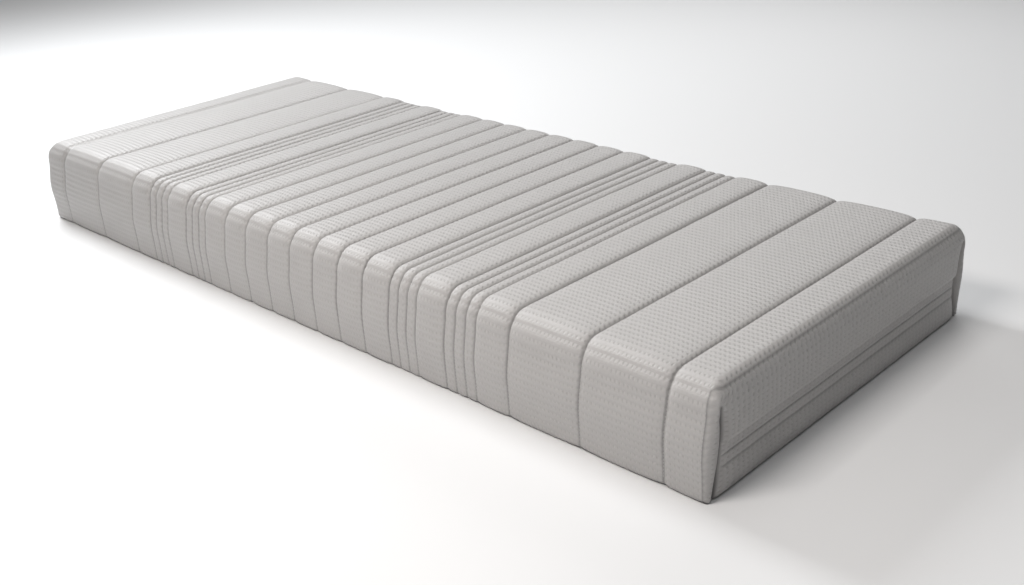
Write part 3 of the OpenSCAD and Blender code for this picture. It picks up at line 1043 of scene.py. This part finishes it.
def knit_material(scene):
    """Double knit with rows of small upright dimples between raised wales."""
    cloth = scene.mattress_cloth
    n = Nodes("cover_knit")
    place = n.add("ShaderNodeUVMap", uv_map="cloth").outputs["UV"]
    split = n.add("ShaderNodeSeparateXYZ")
    n.link(place, split.inputs[0])
    u = n.math("DIVIDE", split.outputs["X"], cloth.dash_u)
    v = n.math("DIVIDE", split.outputs["Y"], cloth.dash_v)
    # Every second row of dimples lies half a step along
    row = n.math("FLOOR", n.times(v, 2.0))
    shift = n.times(n.math("PINGPONG", row, 1.0), 0.5)
    cell_u = n.math("SUBTRACT", n.math("FRACT", n.math("ADD", u, shift)), 0.5)
    cell_v = n.math("SUBTRACT", n.math("FRACT", n.times(v, 2.0)), 0.5)
    # Upright oval dimple: 1 at its middle, 0 outside
    far_u = n.math("POWER", n.times(n.math("ABSOLUTE", cell_u), 3.6), 2.0)
    far_v = n.math("POWER", n.times(n.math("ABSOLUTE", cell_v), 2.1), 2.0)
    dimple = n.math("SUBTRACT", 1.0, n.math("ADD", far_u, far_v), clamp=True)
    # Rows differ a little in depth
    strong = n.ramp(n.math("PINGPONG", row, 1.0), 0.0, 1.0, 1.0, 0.22)
    dimple = n.times(dimple, strong)
    # A shallow furrow runs along between two rows
    furrow = n.math("POWER", n.times(n.math("ABSOLUTE", cell_v), 2.0), 4.0)
    wale = n.math("SINE", n.times(split.outputs["X"], 2 * math.pi / (1.4 * MM)))
    fuzz = n.noise(place, 900.0, 3.0)
    patch = n.noise(place, 14.0, 3.0)
    height = n.math("SUBTRACT", n.times(fuzz, 0.2), dimple)
    height = n.math("SUBTRACT", height, n.times(furrow, 0.3))
    height = n.math("ADD", height, n.times(wale, 0.05))
    # Every second row stands a little higher than its neighbours
    band = n.math("COSINE", n.times(v, 2 * math.pi))
    height = n.math("ADD", height, n.times(band, 0.3))
    seam = n.add("ShaderNodeAttribute", attribute_name="seam")
    slit = n.add("ShaderNodeAttribute", attribute_name="slit")
    pull = n.noise(place, 160.0, 2.0)
    pulled = n.times(n.times(pull, seam.outputs["Fac"]), 0.8)
    n.bump(n.math("ADD", height, pulled), cloth.relief)
    # The dimples are also painted darker in colour: painted shade in their hollows.
    share = n.ramp(dimple, 0.0, 1.0, 1.0, 0.91)
    # The furrows between the rows are painted darker: painted shade in the furrows.
    share = n.times(share, n.ramp(furrow, 0.0, 1.0, 1.0, 0.95))
    # The lower rows are painted darker and the raised rows lighter: painted shade and light
    # that follow the rows' relief.
    share = n.times(share, n.ramp(band, -1.0, 1.0, 0.965, 1.0))
    share = n.times(share, n.ramp(patch, 0.3, 0.7, 0.975, 1.0))
    # The cloth is painted darker at the seams: painted shade in their creases.
    share = n.times(share, n.ramp(seam.outputs["Fac"], 0.5, 1.0, 1.0, 0.55))
    # The slit between the lips is painted dark: painted shade in the gap.
    share = n.times(share, n.ramp(slit.outputs["Fac"], 0.1, 1.0, 1.0, 0.25))
    return n.finish(cloth.colour, share, roughness=0.5, sheen=0.15, sheen_roughness=0.5,
                    shine=0.55)


def weave_material(name, colour, step, roughness=0.85):
    """Plain woven cloth with crossing threads about one step apart."""
    n = Nodes(name)
    place = n.add("ShaderNodeTexCoord").outputs["Object"]
    split = n.add("ShaderNodeSeparateXYZ")
    n.link(place, split.inputs[0])
    x, y, z = (split.outputs[axis] for axis in "XYZ")
    warp = n.math("ADD", x, y)
    weft = n.math("ADD", n.math("SUBTRACT", y, x), n.times(z, 1.4))
    waves = [n.math("SINE", n.times(way, 2 * math.pi / step))
             for way in (warp, weft)]
    threads = n.math("ADD", n.times(n.times(*waves), 0.5), 0.5)
    fuzz = n.noise(place, 1400.0, 3.0)
    patch = n.noise(place, 9.0, 3.0)
    height = n.math("ADD", threads, n.times(fuzz, 0.6))
    n.bump(height, step * 0.25)
    # The hollows between the threads are painted darker: painted shade in them; the patches
    # are uneven tone.
    share = n.times(n.ramp(threads, 0.0, 1.0, 0.82, 1.0),
                   n.ramp(patch, 0.3, 0.7, 0.95, 1.0))
    return n.finish(colour, share, roughness=roughness, sheen=0.2, shine=0.3)


def foam_material(name, colour, pores):
    """Open-celled foam: fine pores in the surface and a slightly uneven colour."""
    n = Nodes(name)
    place = n.add("ShaderNodeTexCoord").outputs["Object"]
    cells = n.add("ShaderNodeTexVoronoi")
    n.link(place, cells.inputs["Vector"])
    cells.inputs["Scale"].default_value = pores
    pore = n.ramp(cells.outputs["Distance"], 0.0, 0.6, 0.0, 1.0)
    patch = n.noise(place, 6.0, 4.0)
    n.bump(pore, 0.6 * MM)
    # The pores are also painted darker: painted shade in their hollows; the patches are
    # uneven tone.
    share = n.times(n.ramp(pore, 0.0, 0.5, 0.72, 1.0),
                   n.ramp(patch, 0.3, 0.7, 0.93, 1.0))
    return n.finish(colour, share, roughness=0.95, shine=0.2)


def plain_material(name, colour, roughness, grain_scale):
    """Smooth nylon or polyester with a fine grain."""
    n = Nodes(name)
    place = n.add("ShaderNodeTexCoord").outputs["Object"]
    fine = n.noise(place, grain_scale, 3.0)
    n.bump(fine, 0.1 * MM)
    return n.finish(colour, n.ramp(fine, 0.3, 0.7, 0.88, 1.0), roughness=roughness)


def metal_material(colour):
    """Plated zinc: bright, with fine scratches and slightly duller patches."""
    n = Nodes("zip_metal")
    place = n.add("ShaderNodeTexCoord").outputs["Object"]
    stretch = n.add("ShaderNodeMapping")
    n.link(place, stretch.inputs["Vector"])
    stretch.inputs["Scale"].default_value = (1.0, 6.0, 9.0)
    scratch = n.noise(stretch.outputs["Vector"], 600.0, 4.0)
    dull = n.noise(place, 180.0, 3.0)
    n.bump(scratch, 0.05 * MM)
    return n.finish(colour, n.ramp(dull, 0.3, 0.7, 0.85, 1.0),
                    roughness=n.ramp(dull, 0.3, 0.7, 0.24, 0.4), metal=1.0)


# --------------------------------------------------------------- stage

FLOOR_HALF = 30


def make_camera(scene):
    """The camera, aimed at its target from its direction, height angle and distance."""
    stage = scene.mattress_stage
    a, e, roll = stage.azimuth, stage.elevation, stage.roll
    back = Vector((math.sin(a) * math.cos(e), -math.cos(a) * math.cos(e), math.sin(e)))
    right = Vector((math.cos(a), math.sin(a), 0))
    up = back.cross(right)
    turned_right = right * math.cos(roll) + up * math.sin(roll)
    turned_up = up * math.cos(roll) - right * math.sin(roll)
    data = bpy.data.cameras.new("camera")
    data.lens = stage.lens
    data.sensor_width = 36
    data.clip_start, data.clip_end = 0.05, 60
    camera = bpy.data.objects.new("camera", data)
    scene.collection.objects.link(camera)
    turn = Matrix((turned_right, turned_up, back)).transposed()
    camera.matrix_world = Matrix.Translation(
        Vector(stage.target) + back * stage.distance) @ turn.to_4x4()
    scene.camera = camera


def add_area(scene, name, place, aim, size, power, colour=(1, 1, 1), opening=180):
    """A soft rectangular light at a place, aimed at a point."""
    data = bpy.data.lights.new(name, "AREA")
    data.spread = math.radians(opening)
    data.shape = "RECTANGLE"
    data.size, data.size_y = size
    data.energy = power
    data.color = colour
    light = bpy.data.objects.new(name, data)
    light.location = place
    light.rotation_mode = "QUATERNION"
    light.rotation_quaternion = (Vector(aim) - Vector(place)).to_track_quat("-Z", "Y")
    scene.collection.objects.link(light)


def make_stage(scene):
    """A pale floor, soft studio lights and the camera."""
    bm = bmesh.new()
    bmesh.ops.create_grid(bm, x_segments=1, y_segments=1, size=FLOOR_HALF)
    mesh = bpy.data.meshes.new("floor")
    bm.to_mesh(mesh)
    bm.free()
    floor = bpy.data.objects.new("floor", mesh)
    scene.collection.objects.link(floor)
    n = Nodes("floor_paper")
    n.shader.inputs["Base Color"].default_value = (0.8, 0.8, 0.8, 1)
    n.shader.inputs["Roughness"].default_value = 0.9
    n.shader.inputs["Specular IOR Level"].default_value = 0.1
    mesh.materials.append(n.material)
    world = bpy.data.worlds.new("studio")
    world.use_nodes = True
    background = world.node_tree.nodes["Background"]
    background.inputs["Color"].default_value = (0.96, 0.97, 1.0, 1)
    background.inputs["Strength"].default_value = 0.06
    scene.world = world
    scene.view_settings.view_transform = "Standard"
    add_area(scene, "key", (-2.6, 0.15, 2.2), (-0.1, -0.2, 0.1), (0.9, 0.9), 84,
             (0.96, 0.98, 1.0))
    add_area(scene, "front", (0.5, -1.5, 1.9), (0.3, -0.4, 0.1), (0.9, 0.5), 29,
             (1.0, 0.955, 0.92))
    add_area(scene, "back", (-0.8, 2.8, 2.2), (-0.3, 0, 0), (2.0, 1.0), 22)
    add_area(scene, "floor", (3.4, -2.4, 3.2), (3.4, -2.4, 0), (1.6, 1.6), 42,
             opening=70)
    sky = bpy.data.lights.new("sky", "SUN")
    sky.energy = 0.9
    sky.angle = math.radians(60)
    scene.collection.objects.link(bpy.data.objects.new("sky", sky))
    make_camera(scene)


# ----------------------------------------------------------- operators

class MATTRESS_OT_cover(bpy.types.Operator):
    """Build the quilted cover"""
    bl_idname = "mattress.cover"
    bl_label = "Quilted cover"

    def execute(self, context):
        make_cover(context.scene)
        return {"FINISHED"}


class MATTRESS_OT_thread(bpy.types.Operator):
    """Build the stitches along the quilting's seams"""
    bl_idname = "mattress.thread"
    bl_label = "Stitches"

    def execute(self, context):
        make_thread(context.scene)
        return {"FINISHED"}


class MATTRESS_OT_base(bpy.types.Operator):
    """Build the underside's panel"""
    bl_idname = "mattress.base"
    bl_label = "Base panel"

    def execute(self, context):
        make_base(context.scene)
        return {"FINISHED"}


class MATTRESS_OT_bindings(bpy.types.Operator):
    """Build the hem tape and the corner tapes"""
    bl_idname = "mattress.bindings"
    bl_label = "Binding tapes"

    def execute(self, context):
        make_bindings(context.scene)
        return {"FINISHED"}


class MATTRESS_OT_foam(bpy.types.Operator):
    """Build the foam core, the memory foam layer and their sleeve"""
    bl_idname = "mattress.foam"
    bl_label = "Foam"

    def execute(self, context):
        make_foam(context.scene)
        return {"FINISHED"}


class MATTRESS_OT_zip(bpy.types.Operator):
    """Build the zip's teeth and finish its tapes and metal parts"""
    bl_idname = "mattress.zip"
    bl_label = "Zip"

    def execute(self, context):
        make_zip(context.scene)
        return {"FINISHED"}


class MATTRESS_OT_label(bpy.types.Operator):
    """Build the care label"""
    bl_idname = "mattress.label"
    bl_label = "Care label"

    def execute(self, context):
        make_label(context.scene)
        return {"FINISHED"}


class MATTRESS_OT_stage(bpy.types.Operator):
    """Build the floor, the lights and the camera"""
    bl_idname = "mattress.stage"
    bl_label = "Stage"

    def execute(self, context):
        make_stage(context.scene)
        return {"FINISHED"}


STEPS = (MATTRESS_OT_cover, MATTRESS_OT_thread, MATTRESS_OT_base, MATTRESS_OT_bindings,
         MATTRESS_OT_foam, MATTRESS_OT_zip, MATTRESS_OT_label, MATTRESS_OT_stage)


class MATTRESS_PT_panel(bpy.types.Panel):
    """Lists the mattress's pieces in the sidebar"""
    bl_idname = "MATTRESS_PT_panel"
    bl_label = "Mattress"
    bl_space_type = "VIEW_3D"
    bl_region_type = "UI"
    bl_category = "Mattress"

    def draw(self, context):
        for step in STEPS:
            self.layout.operator(step.bl_idname)


GROUPS = {
    "mattress_cover": CoverSizes,
    "mattress_cloth": ClothSizes,
    "mattress_thread": ThreadSizes,
    "mattress_zip": ZipSizes,
    "mattress_stage": StageSizes,
}


def register():
    for cls in (*GROUPS.values(), *STEPS, MATTRESS_PT_panel):
        bpy.utils.register_class(cls)
    for name, group in GROUPS.items():
        setattr(bpy.types.Scene, name, PointerProperty(type=group))


def unregister():
    for name in GROUPS:
        delattr(bpy.types.Scene, name)
    for cls in (MATTRESS_PT_panel, *reversed(STEPS), *reversed(GROUPS.values())):
        bpy.utils.unregister_class(cls)


def main():
    register()
    for step in STEPS:
        group, name = step.bl_idname.split(".")
        getattr(getattr(bpy.ops, group), name)()


if __name__ == "__main__":
    main()
